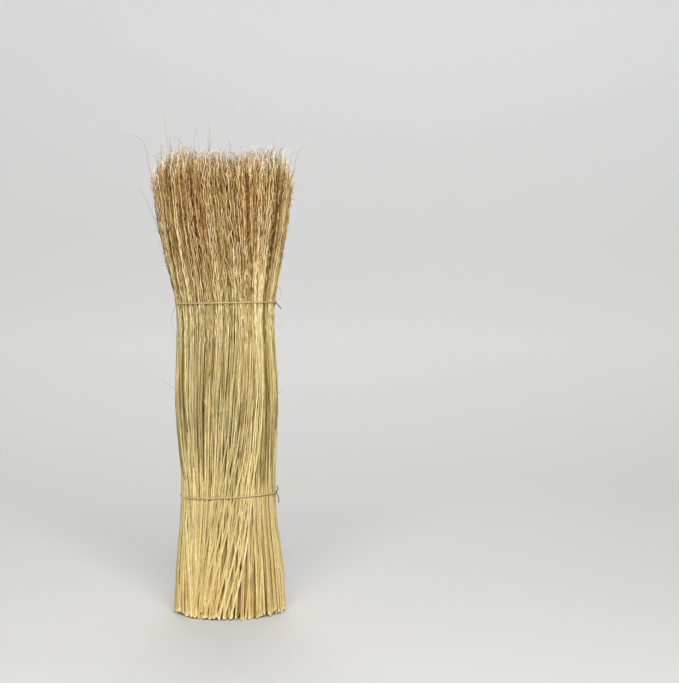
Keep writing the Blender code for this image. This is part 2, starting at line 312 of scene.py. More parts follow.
Template = namedtuple("Template", "corners sizes loops slots rim rings")
Row = namedtuple(
    "Row", "stem_sides stem_rings girth fibres fibre_rings thick waves_from branches sway shade"
)

# The deeper a row, the fewer and thicker are the fibres that are enough to fill it
# A row's shade is painted shade: it darkens the colour of its strands, for the shade that the rows in front
# cast on them
OUTER = Row(8, 12, 0.88, 8, 38, 1.00, 0.320, 4, 0.0, 0.0)
BETWEEN = OUTER._replace(girth=0.92, sway=0.35)
UPRIGHT = OUTER._replace(girth=0.70, sway=0.3, shade=-0.2)
SECOND = Row(6, 8, 0.85, 7, 28, 1.00, 0.330, 3, 0.9, -1.3)
THIRD = Row(6, 6, 0.90, 5, 16, 1.15, 0.360, 2, 0.8, -2.2)
DEEP = Row(5, 4, 1.00, 4, 8, 1.35, 0.420, 1, 0.6, -1.6)
# Stalks between two packed ones: place in the gap, how much deeper at most, and how far off its place
IN_THE_GAPS = ((0.33, 0.020), (0.67, 0.045))
GAP_JITTER = 0.08
# How far those of the rows behind are off theirs: share of their spacing, and in or out
ROW_JITTER = 0.25
DEPTH_JITTER = 0.0005
# The innermost row is further than this share of a row's depth from the axis
INNERMOST_ROW = 0.3

# Angle of the middle, width, and how far the fibres there go to green (below zero) or to red-brown
HUE_STRETCHES = (
    (-21.0, 11.0, 0.50),
    (-2.0, 4.5, -0.8),
    (23.0, 9.0, 0.20),
    (58.0, 18.0, -0.6),
    (-62.0, 12.0, -0.3),
    (120.0, 18.0, 0.3),
    (165.0, 10.0, -0.7),
    (-140.0, 20.0, 0.25),
)
# Stems with a colour of their own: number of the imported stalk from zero, how light, how red
STEM_COLOURS = {0: (0.3, -0.8), 1: (0.2, -1.0), 3: (-0.4, 0.8), 24: (0.0, -0.9), 33: (-0.3, 0.8)}
# How much the others differ in lightness and hue, and the shares that are greener and browner by this
STALKS_DIFFER = (0.45, 0.22)
GREEN_STALKS = (0.10, -0.6)
BROWN_STALKS = (0.08, 0.5)

# Material slots of a piece of broomcorn
RIND, PITH, FIBRE = range(3)
# A face of a cut end points down by more than this, and its corners are under this share of a ring up
POINTS_DOWN = -0.9
RIM_REACH = 0.2
# Least radius that is divided by, and what rounding may take off a whole number
NEAR_AXIS = 0.0001
ROUNDING = 0.001


def straight_value(points, at):
    """Reads lines of straight runs through (place, value) points."""
    places, values = zip(*points)
    return np.interp(at, places, values)


def smooth_through(levels, values, at):
    """Reads a smooth curve through values at these levels; past the last it keeps the last value."""
    slopes = np.gradient(values, levels, axis=0)
    index = np.clip(np.searchsorted(levels, at, side="right") - 1, 0, len(levels) - 2)
    run = levels[index + 1] - levels[index]
    t = np.clip((at - levels[index]) / run, 0.0, 1.0)[:, None]
    run = run[:, None]
    return (
        (2 * t**3 - 3 * t**2 + 1) * values[index]
        + (t**3 - 2 * t**2 + t) * run * slopes[index]
        + (3 * t**2 - 2 * t**3) * values[index + 1]
        + (t**3 - t**2) * run * slopes[index + 1]
    )


def smooth_curve(points, count):
    """Points evenly along a smooth curve through a few points."""
    points = np.array(points, dtype=float)
    steps = np.linalg.norm(np.diff(points, axis=0), axis=1)
    far = np.concatenate(([0.0], np.cumsum(steps)))
    return smooth_through(far, points, np.linspace(0.0, far[-1], count))


def unit(vectors):
    return vectors / np.linalg.norm(vectors, axis=-1, keepdims=True)


def off_angle(angles, middle):
    return (angles - middle + 180.0) % 360.0 - 180.0


def stretches_at(stretches, angles):
    """What smooth bumps round the bundle, each (middle, width, height), add up to at these angles."""
    total = np.zeros(np.shape(angles))
    for middle, width, height in stretches:
        total = total + height * np.exp(-((off_angle(angles, middle) / width) ** 2))
    return total


class Bundle:
    """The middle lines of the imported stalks, and the places between and behind them."""

    def __init__(self, nodes):
        self.heights = np.arange(0.0, GRID_TOP, GRID_STEP)
        names = [f"stalk_{number:02d}" for number in range(1, STALK_COUNT + 1)]
        self.lines = np.array([self.line_of(nodes[name]) for name in names])
        self.axis = self.lines.mean(axis=0)
        self.lines += unit(self.lines - self.axis) * straight_value(STAND_OUT, self.heights)[:, None]

    def line_of(self, node):
        """A stalk's middle line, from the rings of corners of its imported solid."""
        corners = np.zeros(3 * len(node.data.vertices))
        node.data.vertices.foreach_get("co", corners)
        corners = np.unique(corners.reshape(-1, 3).round(5), axis=0)
        levels = (corners[:, 2].min(), *LEVELS[1:])
        rings = [corners[np.abs(corners[:, 2] - level) < RING_TOLERANCE] for level in levels]
        middles = np.array([ring.mean(axis=0) for ring in rings])
        return smooth_through(np.array(LEVELS), middles, self.heights)

    def places(self, number, heights, share=1.0):
        """Points at this stalk number, which may lie between two, and this share of the way out."""
        heights = np.asarray(heights, dtype=float)
        number = np.broadcast_to(number, heights.shape)
        row = np.clip(heights / GRID_STEP, 0.0, len(self.heights) - 1 - ROUNDING)
        low = row.astype(int)
        rise = (row - low)[..., None]
        before = np.floor(number).astype(int)
        across = (number - before)[..., None]
        left = before % STALK_COUNT
        right = (before + 1) % STALK_COUNT
        under = self.lines[left, low] * (1 - across) + self.lines[right, low] * across
        over = self.lines[left, low + 1] * (1 - across) + self.lines[right, low + 1] * across
        outer = under * (1 - rise) + over * rise
        axis = self.axis[low] * (1 - rise) + self.axis[low + 1] * rise
        points = axis + (outer - axis) * np.broadcast_to(share, heights.shape)[..., None]
        points[..., 2] = heights
        return points

    def directions(self, points):
        """Out from the axis and to the side at each point, and how far from the axis it is."""
        out = points - self.places(0.0, points[..., 2], 0.0)
        radius = np.maximum(np.linalg.norm(out[..., :2], axis=-1, keepdims=True), NEAR_AXIS)
        out = out / radius
        side = np.stack((-out[..., 1], out[..., 0], np.zeros(out.shape[:-1])), axis=-1)
        return out, side, radius

    def angle_of(self, points):
        out, _, _ = self.directions(points)
        return np.degrees(np.arctan2(out[..., 0], -out[..., 1]))

    def number_at(self, angles, height):
        """The stalk numbers that have these angles at this height."""
        known = self.angle_of(self.places(np.arange(STALK_COUNT), np.full(STALK_COUNT, height)))
        known = np.unwrap(known, period=360.0)
        known = np.concatenate((known - 360.0, known, known + 360.0))
        numbers = np.arange(-STALK_COUNT, 2 * STALK_COUNT)
        return np.interp(angles, known, numbers)


@cache
def model_strand(sides, rings, cut):
    """One straight strand of half width one and length one, drawn up ring by ring to a point.

    A cut end has its pith set in from the rind.
    """
    bpy.ops.object.select_all(action="DESELECT")
    bpy.ops.mesh.primitive_circle_add(vertices=sides, radius=1.0, fill_type="NGON")
    strand = bpy.context.object
    bpy.ops.object.mode_set(mode="EDIT")
    bpy.ops.mesh.select_mode(type="FACE")
    bpy.ops.mesh.select_all(action="SELECT")
    step = 1.0 / (rings - 1)
    for _ in range(rings - 1):
        bpy.ops.mesh.extrude_region_move(TRANSFORM_OT_translate={"value": (0.0, 0.0, step)})
    bpy.ops.mesh.merge(type="CENTER")
    bpy.ops.mesh.select_all(action="SELECT")
    bpy.ops.mesh.normals_make_consistent(inside=False)
    bpy.ops.mesh.select_all(action="DESELECT")
    bpy.ops.object.mode_set(mode="OBJECT")
    if cut:
        for face in strand.data.polygons:
            face.select = face.normal.z < POINTS_DOWN
        bpy.ops.object.mode_set(mode="EDIT")
        bpy.ops.mesh.inset(thickness=PITH_INSET, depth=0.0)
        bpy.ops.transform.translate(value=(0.0, 0.0, PITH_SUNK * step))
        bpy.ops.object.mode_set(mode="OBJECT")
    template = read_template(strand, rings, cut)
    bpy.data.objects.remove(strand, do_unlink=True)
    return template


def read_template(strand, rings, cut):
    """The strand's corners and faces, the slots of its faces, and which corners are at its cut end."""
    mesh = strand.data
    corners = np.zeros(3 * len(mesh.vertices))
    mesh.vertices.foreach_get("co", corners)
    corners = corners.reshape(-1, 3)
    sizes = np.zeros(len(mesh.polygons), dtype=np.int32)
    mesh.polygons.foreach_get("loop_total", sizes)
    loops = np.zeros(len(mesh.loops), dtype=np.int32)
    mesh.loops.foreach_get("vertex_index", loops)
    slots = np.array([PITH if face.normal.z < POINTS_DOWN else RIND for face in mesh.polygons])
    rim = (corners[:, 2] < RIM_REACH / (rings - 1)) & cut
    return Template(corners, sizes, loops, slots, rim, rings)


def bent_copies(template, lines, half_widths, slants):
    """Copies of the strand, each bent along its own line, as an array of corners."""
    along = unit(np.gradient(lines, axis=1))
    least = np.abs(along).max(axis=1).argmin(axis=1)
    side = np.eye(3)[least][:, None, :]
    side = unit(side - (side * along).sum(axis=-1, keepdims=True) * along)
    front = np.cross(along, side)
    side[:, 0] += along[:, 0] * (side[:, 0] * slants).sum(axis=-1, keepdims=True)
    front[:, 0] += along[:, 0] * (front[:, 0] * slants).sum(axis=-1, keepdims=True)
    station = template.corners[:, 2] * (template.rings - 1)
    low = np.clip(np.floor(station + ROUNDING).astype(int), 0, template.rings - 2)
    rise = (station - low)[None, :, None]

    def between(values):
        return values[:, low] * (1 - rise) + values[:, low + 1] * rise

    across = template.corners[None, :, 0:1] * between(side)
    across = across + template.corners[None, :, 1:2] * between(front)
    return between(lines) + between(half_widths[..., None]) * across


def linked(name, data):
    """A new object with this data, put into the scene."""
    made = bpy.data.objects.new(name, data)
    bpy.context.scene.collection.objects.link(made)
    return made


class Growth:
    """Gathers strands, and joins them into one mesh."""

    def __init__(self):
        self.parts = {label: [] for label in ("corners", "loops", "sizes", "slots", "rims", "tint", "hue")}
        self.count = 0

    def add(self, template, lines, half_widths, tints, hues, slot=None, slants=None):
        """Adds a copy of the strand along each line. Tints are one for each ring of each strand."""
        strands = len(lines)
        if slants is None:
            slants = np.zeros((strands, 3))
        corners = bent_copies(template, lines, half_widths, slants)
        each = corners.shape[1]
        shifts = self.count + each * np.arange(strands)
        slots = template.slots if slot is None else np.full_like(template.slots, slot)
        ring = np.rint(template.corners[:, 2] * (template.rings - 1)).astype(int)
        self.parts["corners"].append(corners.reshape(-1, 3))
        self.parts["loops"].append((template.loops[None, :] + shifts[:, None]).ravel())
        self.parts["sizes"].append(np.tile(template.sizes, strands))
        self.parts["slots"].append(np.tile(slots, strands))
        self.parts["rims"].append(np.tile(template.rim, strands))
        self.parts["tint"].append(tints[:, ring].ravel())
        self.parts["hue"].append(np.repeat(hues, each))
        self.count += strands * each

    def make(self, name, materials):
        whole = {label: np.concatenate(values) for label, values in self.parts.items()}
        mesh = bpy.data.meshes.new(name)
        mesh.vertices.add(self.count)
        mesh.vertices.foreach_set("co", whole["corners"].ravel())
        mesh.loops.add(len(whole["loops"]))
        mesh.loops.foreach_set("vertex_index", whole["loops"])
        mesh.polygons.add(len(whole["sizes"]))
        mesh.polygons.foreach_set("loop_start", np.concatenate(([0], np.cumsum(whole["sizes"])[:-1])))
        mesh.update(calc_edges=True)
        for material in materials:
            mesh.materials.append(material)
        mesh.polygons.foreach_set("material_index", whole["slots"])
        mesh.shade_smooth()
        for label in ("tint", "hue"):
            mesh.attributes.new(label, "FLOAT", "POINT").data.foreach_set("value", whole[label])
        ends = np.zeros(2 * len(mesh.edges), dtype=np.int32)
        mesh.edges.foreach_get("vertices", ends)
        sharp = whole["rims"][ends.reshape(-1, 2)].all(axis=1)
        mesh.attributes.new("sharp_edge", "BOOLEAN", "EDGE").data.foreach_set("value", sharp)
        return linked(name, mesh)


class Grower:
    """Grows stalks of broomcorn along the lines of the bundle."""

    def __init__(self, bundle):
        self.bundle = bundle

    def angle_at_tie(self, number):
        """The angle at which a stalk passes under the lower tie."""
        return self.bundle.angle_of(self.bundle.places(number, np.array([LOWER_TIE[0]])))[0]

    def stalk(self, growth, dice, number, share, row, colour=None):
        """One stalk: its stem, the fibres of its panicle and their side branches."""
        tint, hue = colour_cues(dice)
        if colour:
            tint, hue = colour
        parting = dice.uniform(*PARTING)
        sway = dice.normal(0.0, 1.0) * row.sway
        lift = 0.0
        if row is BETWEEN:
            sway += stretches_at(LEANING_GROUPS, self.angle_at_tie(number)) * dice.uniform(*LEANS_VARY)
            lift = STEM_HALF_WIDTH * min(abs(sway) / FULL_LIFT_SWAY, 1.0)

        def middle(heights):
            numbers = number + sway * straight_value(SWAY, heights)
            line = self.bundle.places(numbers, heights, share)
            out, _, _ = self.bundle.directions(line)
            return line + out * (lift * straight_value(LIFT, heights))[..., None]

        crown = middle(np.array([LEVELS[-1]]))
        angle = self.bundle.angle_of(crown)[0]
        top = BRUSH_TOP + stretches_at(TOP_STRETCHES, angle) * share**2 + dice.normal(0.0, TUFT_UNEVEN)
        self.stem(growth, dice, middle, parting, tint, hue, row)
        hue = STALK_HUE_SHOWS * hue + stretches_at(HUE_STRETCHES, angle) * share
        self.panicle(growth, dice, middle, parting, top, tint, hue, row)

    def stem(self, growth, dice, middle, parting, tint, hue, row):
        """A straw stem with a slanted cut, which narrows upwards and ends among its fibres."""
        width = STEM_HALF_WIDTH * row.girth * (1 + dice.uniform(-STEM_WIDTH_VARIES, STEM_WIDTH_VARIES))
        slant = dice.uniform(-CUT_SLANT, CUT_SLANT, 3) * (1.0, 1.0, 0.0)
        foot = dice.uniform(0.0, CUT_RAGGED)
        if dice.uniform() < HIGH_CUTS:
            foot += dice.uniform(0.0, HIGH_CUT_RISE)
        foot += width * (np.linalg.norm(slant) + CUT_OFF_FLOOR)
        top = parting + STEM_ENDS_ABOVE_PARTING
        heights = np.linspace(foot, top, row.stem_rings)
        heights[1] = foot + FRAYED_END
        line = middle(heights)
        bow = dice.normal(0.0, BOW, (row.stem_rings, 2))
        if row.sway:
            line[2:-1, :2] += bow[2:-1]
        widths = width * np.interp(heights, (foot, LOWER_TIE[0], parting, top), (1.0, *STEM_NARROWS))
        template = model_strand(row.stem_sides, row.stem_rings, True)
        # Painted shade: a stem of a row behind is painted darker, or lighter, by its row's shade and its
        # height
        tints = STEM_SHOWS * tint + row.shade * straight_value(SHADE_BY_HEIGHT, heights)
        tints[0] += FRAYED_LIGHTER
        growth.add(template, line[None], widths[None], tints[None], [hue], slants=slant[None])

    def panicle(self, growth, dice, middle, parting, top, tint, hue, row):
        """Fibres side by side, which spread, kink and wave more and more up the brush."""
        fibres = row.fibres
        rings = row.fibre_rings
        order = np.arange(fibres)
        deep = (order + dice.uniform(0.0, 1.0, fibres)) / fibres - 0.5
        steps = dice.uniform() + GOLDEN_STEP * order + dice.uniform(0.0, STEP_VARIES, fibres)
        lateral = steps % 1.0 - 0.5
        centre = np.stack((lateral, deep), axis=-1)
        starts = parting + dice.uniform(*FIBRES_LEAVE, fibres)
        ends = top + dice.normal(0.0, TOP_UNEVEN, fibres)
        long_ones = dice.uniform(size=fibres) < LONG_FIBRES
        ends += long_ones * dice.uniform(*LONG_FIBRE_RISE, fibres)

        heights = self.fibre_heights(starts, ends, row)
        line = middle(heights)
        out, side, radius = self.bundle.directions(line)
        grown = radius / radius[:, :1]
        cell = np.concatenate((ROW_SPACING * grown, ROW_DEPTH * grown), axis=-1)
        offset = centre[:, None] * straight_value(SPREAD, heights)[..., None] * cell
        moves = dice.normal(0.0, 1.0, (fibres, rings, 2)) * straight_value(KINKS, heights)[..., None]
        moves += self.long_waves(dice, fibres, rings) * straight_value(WAVES, heights)[..., None]
        left = np.clip(1.0 - (ends[:, None] - heights) / CURL_LENGTH, 0.0, 1.0)[..., None]
        moves += dice.normal(0.0, CURL, (fibres, 1, 2)) * left**2
        offset += moves * (1.0, MOVES_OUT)
        line = line + side * offset[..., 0:1] + out * offset[..., 1:2]

        taper = straight_value(FIBRE_TAPER, np.linspace(0.0, 1.0, rings))
        varied = 1 + dice.uniform(-FIBRE_WIDTH_VARIES, FIBRE_WIDTH_VARIES, fibres)
        width = row.thick * FIBRE_HALF_WIDTH * varied
        tints = tint * STALK_SHOWS + dice.normal(0.0, FIBRES_DIFFER, fibres)
        # Painted shade: a fibre at the back of its row is painted darker than one at its front
        tints += straight_value(PAINTED_SHADE_BY_DEPTH, deep)
        tints += DARK_FIBRES[1] * (dice.uniform(size=fibres) < DARK_FIBRES[0])
        tints = tints[:, None] * straight_value(CONTRAST_BY_HEIGHT, heights)
        below_tip = ends[:, None] - heights
        # Painted shade: an inner fibre is painted darker from a little below its tip downwards, by its
        # row's shade
        in_shade = np.interp(below_tip, PAINTED_SHADE_BELOW_TIP, (0.0, 1.0))
        in_shade = in_shade * straight_value(SHADE_BY_HEIGHT, heights)
        # Each ring also gets its random mottling, with painted short highlights and shade
        tints = tints + row.shade * in_shade + dice.normal(0.0, MOTTLE_AND_PAINTED_GLINTS, (fibres, rings))
        tints = np.clip(tints, *TINT_LIMITS)
        tints += TIPS_LIGHTER * np.clip(1.0 - below_tip / LIGHTER_FROM_BELOW_TIP, 0.0, 1.0)
        hues = hue + dice.normal(0.0, FIBRE_HUES_DIFFER, fibres)
        growth.add(model_strand(3, rings, False), line, width[:, None] * taper, tints, hues, slot=FIBRE)
        self.branches(growth, dice, line, tints, hues, row)

    def long_waves(self, dice, fibres, rings):
        """Waves some rings long, which the fibres of a stalk partly share."""
        knots = (rings - 1) // RINGS_IN_A_WAVE + 2
        shared = dice.normal(0.0, 1.0, (1, knots, 2))
        waves = shared * WAVES_SHARED + dice.normal(0.0, 1.0, (fibres, knots, 2)) * (1 - WAVES_SHARED)
        at = np.arange(rings) / RINGS_IN_A_WAVE
        low = at.astype(int)
        rise = (at - low)[None, :, None]
        return waves[:, low] * (1 - rise) + waves[:, low + 1] * rise

    def fibre_heights(self, starts, ends, row):
        """A few rings up to where the waves begin, and the rest evenly from there to the tip."""
        steps = np.arange(row.fibre_rings)[None]
        starts = starts[:, None]
        ends = ends[:, None]
        bend = np.maximum(starts + STRAIGHT_LENGTH, row.waves_from)
        below = starts + (bend - starts) * steps / STRAIGHT_RINGS
        above = bend + (ends - bend) * (steps - STRAIGHT_RINGS) / (row.fibre_rings - 1 - STRAIGHT_RINGS)
        return np.where(steps < STRAIGHT_RINGS, below, above)

    def branches(self, growth, dice, lines, tints, hues, row):
        """Short side branches that leave the fibres near their tips, and curl."""
        owner = np.repeat(np.arange(len(lines)), row.branches)
        crowded = dice.uniform(FIRST_BELOW_TIP, 1.0, len(owner)) ** BRANCHES_CROWD
        below_tip = (1.0 - BRANCHES_FROM) * crowded
        station = (1.0 - below_tip) * (lines.shape[1] - 1)
        low = station.astype(int)
        rise = (station - low)[:, None]
        root = lines[owner, low] * (1 - rise) + lines[owner, low + 1] * rise
        along = unit(lines[owner, low + 1] - lines[owner, low])
        out, side, _ = self.bundle.directions(root)
        turn = dice.uniform(0.0, 2 * math.pi, len(owner))[:, None]
        away = np.cos(turn) * side + np.sin(turn) * out * MOVES_OUT
        leaves = dice.uniform(*BRANCH_LEAVES, len(owner))[:, None]
        curls = dice.uniform(*BRANCH_CURLS, len(owner))[:, None]
        step = dice.uniform(*BRANCH_LENGTH, len(owner))[:, None] / (BRANCH_RINGS - 1)
        path = [root]
        for share in np.linspace(0.0, 1.0, BRANCH_RINGS - 1):
            bend = leaves + curls * share + dice.normal(0.0, BRANCH_KINKS, leaves.shape)
            path.append(path[-1] + step * (np.cos(bend) * along + np.sin(bend) * away))
        path = np.stack(path, axis=1)
        taper = np.linspace(1.0, BRANCH_NARROWS, BRANCH_RINGS)
        widths = np.tile(BRANCH_HALF_WIDTH * taper, (len(owner), 1))
        darker = np.where(station > BRANCHES_DARKEN_AT * (lines.shape[1] - 1), BRANCHES_DARKER, 0.0)
        shades = np.repeat((tints[owner, low] + darker)[:, None], BRANCH_RINGS, axis=1)
        growth.add(model_strand(3, BRANCH_RINGS, False), path, widths, shades, hues[owner], slot=FIBRE)

    def loose_fibre(self, growth, points, half_width, tint, hue):
        """A single fibre along a smooth curve through these points."""
        template = model_strand(3, LOOSE_RINGS, False)
        line = smooth_curve(points, LOOSE_RINGS)
        widths = half_width * np.linspace(1.0, LOOSE_NARROWS, LOOSE_RINGS)
        tints = np.full((1, LOOSE_RINGS), tint)
        growth.add(template, line[None], widths[None], tints, [hue], slot=FIBRE)


def colour_cues(dice):
    """How light a stalk is, and how far it goes to green (below zero) or to red-brown (above)."""
    tint = dice.normal(0.0, STALKS_DIFFER[0])
    hue = dice.normal(0.0, STALKS_DIFFER[1])
    kind = dice.uniform()
    if kind < GREEN_STALKS[0]:
        hue += GREEN_STALKS[1]
    elif kind > 1.0 - BROWN_STALKS[0]:
        hue += BROWN_STALKS[1]
    return tint, hue


def strays_by_stalk(bundle):
    """Gives each stray fibre to the stalk whose tuft is nearest to its bend."""
    tufts = bundle.places(np.arange(STALK_COUNT), np.full(STALK_COUNT, LEVELS[-1]))
    owners = {}
    for bend, tip in STRAY_FIBRES:
        nearest = int(np.linalg.norm(tufts - np.array(bend), axis=1).argmin())
        owners[nearest] = (bend, tip)
    return owners


def settle(piece, *nodes):
    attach(piece, "root")
    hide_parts(*nodes)


def grow_outer_stalks(grower, materials):
    """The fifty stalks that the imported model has, each a piece of its own."""
    strays = strays_by_stalk(grower.bundle)
    for index in range(STALK_COUNT):
        dice = np.random.default_rng([SEED, index])
        growth = Growth()
        grower.stalk(growth, dice, float(index), 1.0, OUTER, STEM_COLOURS.get(index))
        if index in strays:
            bend, tip = strays[index]
            root = grower.bundle.places(float(index), np.array(STRAY_ROOTS))
            middle = root[1] * (1.0 - TOWARDS_BEND) + np.array(bend) * TOWARDS_BEND
            grower.loose_fibre(growth, [root[0], root[1], middle, bend, tip], *STRAY_LOOK)
        piece = growth.make(f"broomcorn_stalk_{index + 1:02d}", materials)
        settle(piece, f"stalk_{index + 1:02d}")


def grow_between(grower, dice, materials):
    """The stalks between the fifty, the upright ones in the openings, and the loose fibres."""
    front = Growth()
    back = Growth()
    for index in range(STALK_COUNT):
        foot = grower.bundle.places(float(index), np.array([0.0]))
        growth = front if foot[0, 1] < 0.0 else back
        for place, deepest in IN_THE_GAPS:
            number = index + place + dice.uniform(-GAP_JITTER, GAP_JITTER)
            share = 1.0 - dice.uniform(0.0, deepest)
            if PARTED[0] < grower.angle_at_tie(number) < PARTED[1]:
                grower.stalk(growth, dice, number, share - PARTED_DEEPER, UPRIGHT)
            else:
                grower.stalk(growth, dice, number, share, BETWEEN)
    upright = Growth()
    for opening, reach, count in OPENINGS:
        middle = float(grower.bundle.number_at(*opening))
        for number in np.linspace(middle - reach, middle + reach, count):
            grower.stalk(upright, dice, number, dice.uniform(*OPENING_SHARE), UPRIGHT)
    for points in LOOSE_FIBRES:
        grower.loose_fibre(upright, points, *LOOSE_LOOK)
    settle(front.make("outer_stalks_between_front", materials), "inner_stalks")
    settle(back.make("outer_stalks_between_back", materials), "inner_stalks")
    settle(upright.make("upright_stalks_in_openings", materials), "inner_stalks")


def grow_inner_rows(grower, dice, materials):
    """The rows behind the outer stalks: the first two are a piece each, and the rest make two."""
    waist = grower.bundle.places(np.arange(STALK_COUNT), np.full(STALK_COUNT, UPPER_TIE[0]))
    outer_radius = grower.bundle.directions(waist)[2].mean()
    rows = []
    radius = outer_radius - ROW_DEPTH
    while radius > INNERMOST_ROW * ROW_DEPTH:
        rows.append(radius)
        radius -= ROW_DEPTH
    named = {0: ("second_row_stalks", SECOND), 1: ("third_row_stalks", THIRD)}
    half_way = sum(rows[2:]) / 2
    passed = 0.0
    growth = Growth()
    for order, radius in enumerate(rows):
        name, row = named.get(order, (None, DEEP))
        count = round(2 * math.pi * radius / ROW_SPACING)
        for index in range(count):
            number = (index + dice.uniform(-ROW_JITTER, ROW_JITTER)) * STALK_COUNT / count
            share = (radius + dice.uniform(-DEPTH_JITTER, DEPTH_JITTER)) / outer_radius
            grower.stalk(growth, dice, number, share, row)
        if name:
            settle(growth.make(name, materials), "inner_stalks")
            growth = Growth()
        else:
            passed += radius
            if passed > half_way:
                settle(growth.make("inner_stalks_outer_part", materials), "inner_stalks")
                growth = Growth()
                half_way = float("inf")
    settle(growth.make("inner_stalks_core_part", materials), "inner_stalks")


def linear(text):
    """An sRGB hex colour, as the linear values that a shader takes."""
    parts = [int(text[i : i + 2], 16) / 255 for i in (0, 2, 4)]
    values = [p / 12.92 if p <= 0.04045 else ((p + 0.055) / 1.055) ** 2.4 for p in parts]
    return (*values, 1.0)


def add_node(tree, kind, inputs=(), stops=(), **settings):
    """Adds a node with its settings. An input is a value or, where it is a socket, a link."""
    made = tree.nodes.new(kind)
    for name, value in settings.items():
        setattr(made, name, value)
    for name, value in dict(inputs).items():
        if isinstance(value, bpy.types.NodeSocket):
            tree.links.new(value, made.inputs[name])
        else:
            made.inputs[name].default_value = value
    if stops:
        ramp = made.color_ramp
        while len(ramp.elements) < len(stops):
            ramp.elements.new(0.5)
        for element, (place, colour) in zip(ramp.elements, stops):
            element.position = place
            element.color = colour
    return made


def new_material(name, roughness):
    """A new material of this roughness, with its nodes, its shader and its Object coordinates."""
    material = bpy.data.materials.new(name)
    material.use_nodes = True
    tree = material.node_tree
    shader = tree.nodes["Principled BSDF"]
    shader.inputs["Roughness"].default_value = roughness
    place = add_node(tree, "ShaderNodeTexCoord").outputs["Object"]
    return material, tree, shader, place


# A Mix node's colour sockets, which share their names with others
MIX_A, MIX_B, MIX_RESULT = 6, 7, 2

# Height and straw colour there, from the cut ends to the tips of the brush
STRAW_BY_HEIGHT = (
    (0.000, "D0B576"),
    (0.085, "CDB67A"),
    (0.120, "C7B178"),
    (0.165, "CEB97D"),
    (0.215, "D3BF86"),
    (0.270, "DAC68C"),
    (0.347, "DDCB94"),
    (0.385, "E0C990"),
    (0.415, "DABE87"),
    (0.470, "D6B57E"),
    (0.512, "DEB97C"),
    (0.540, "F2D8A6"),
)
STRAW_SPAN = 0.560
GREEN_STRAW = "BFB67A"
RED_STRAW = "C38F54"
# Hue from which those two colours show, hue at which they show most, and their share there
HUE_SHOWS = (0.2, 1.6, 0.75)
# Streaks of the rind and flecks of its weathering, drawn wider than the real ones, which are under half
# a millimetre: width and length in mm, detail, and the range of the noise with its light at both ends
STREAKS = (0.9, 22.0, 3.0, (0.30, 0.70, 0.80, 1.12))
FLECKS = (1.1, 5.0, 2.0, (0.32, 0.62, 0.78, 1.08))
# How deep the streaks are, and how many grains the pith and the twine have in a millimetre
STREAK_DEPTH_MM = 0.10
PITH_GRAINS_IN_MM = 2.2
TWINE_GRAINS_IN_MM = 2.6
# How much lighter the straw is for one step of tint, and how much deeper in colour a step down is
TINT_STEP = 1.26
TINT_DEEPENS = 0.27


def straw(name, roughness, specular):
    """Dry broomcorn: golden at the foot and browner in the brush, streaked along the strand.

    The rind of a stem is waxy and shines a little, and the thin fibres of the brush are dull.
    """
    material, tree, shader, place = new_material(name, roughness)
    shader.inputs["Specular IOR Level"].default_value = specular
    height = add_node(tree, "ShaderNodeSeparateXYZ", {"Vector": place}).outputs["Z"]
    share = add_node(tree, "ShaderNodeMapRange", {"Value": height, "From Max": STRAW_SPAN})
    stops = [(at / STRAW_SPAN, linear(colour)) for at, colour in STRAW_BY_HEIGHT]
    base = add_node(tree, "ShaderNodeValToRGB", {"Fac": share.outputs["Result"]}, stops)
    colour = base.outputs["Color"]
    hue = add_node(tree, "ShaderNodeAttribute", attribute_name="hue").outputs["Fac"]
    # The tint holds a strand's own lightness together with the painted shade and painted highlights set on
    # it
    tint = add_node(tree, "ShaderNodeAttribute", attribute_name="tint").outputs["Fac"]
    starts, full, most = HUE_SHOWS
    for sign, other in ((-1.0, GREEN_STRAW), (1.0, RED_STRAW)):
        limits = {"Value": hue, "From Min": starts * sign, "From Max": full * sign, "To Max": most}
        amount = add_node(tree, "ShaderNodeMapRange", limits).outputs["Result"]
        sockets = {"Factor": amount, MIX_A: colour, MIX_B: linear(other)}
        colour = add_node(tree, "ShaderNodeMix", sockets, data_type="RGBA").outputs[MIX_RESULT]

    noises = []
    lights = []
    for across_mm, long_mm, detail, limits in (STREAKS, FLECKS):
        stretch = (1000 / across_mm, 1000 / across_mm, 1000 / long_mm)
        along = add_node(tree, "ShaderNodeMapping", {"Vector": place, "Scale": stretch})
        noise = {"Vector": along.outputs["Vector"], "Scale": 1.0, "Detail": detail}
        noises.append(add_node(tree, "ShaderNodeTexNoise", noise).outputs["Fac"])
        light = dict(zip(("From Min", "From Max", "To Min", "To Max"), limits), Value=noises[-1])
        lights.append(add_node(tree, "ShaderNodeMapRange", light).outputs["Result"])
    pattern = add_node(tree, "ShaderNodeMath", dict(enumerate(lights)), operation="MULTIPLY")
    deepening = {0: tint, 1: -TINT_DEEPENS, 2: 1.0}
    gamma = add_node(tree, "ShaderNodeMath", deepening, operation="MULTIPLY_ADD").outputs["Value"]
    deep = add_node(tree, "ShaderNodeGamma", {"Color": colour, "Gamma": gamma}).outputs["Color"]
    tint_light = add_node(tree, "ShaderNodeMath", {0: TINT_STEP, 1: tint}, operation="POWER")
    factors = {0: tint_light.outputs["Value"], 1: pattern.outputs["Value"]}
    scale = add_node(tree, "ShaderNodeMath", factors, operation="MULTIPLY").outputs["Value"]
    lit = add_node(tree, "ShaderNodeVectorMath", {"Vector": deep, "Scale": scale}, operation="SCALE")
    tree.links.new(lit.outputs["Vector"], shader.inputs["Base Color"])
    relief = {"Height": noises[0], "Strength": 0.5, "Distance": STREAK_DEPTH_MM / 1000}
    bump = add_node(tree, "ShaderNodeBump", relief)
    tree.links.new(bump.outputs["Normal"], shader.inputs["Normal"])
    return material


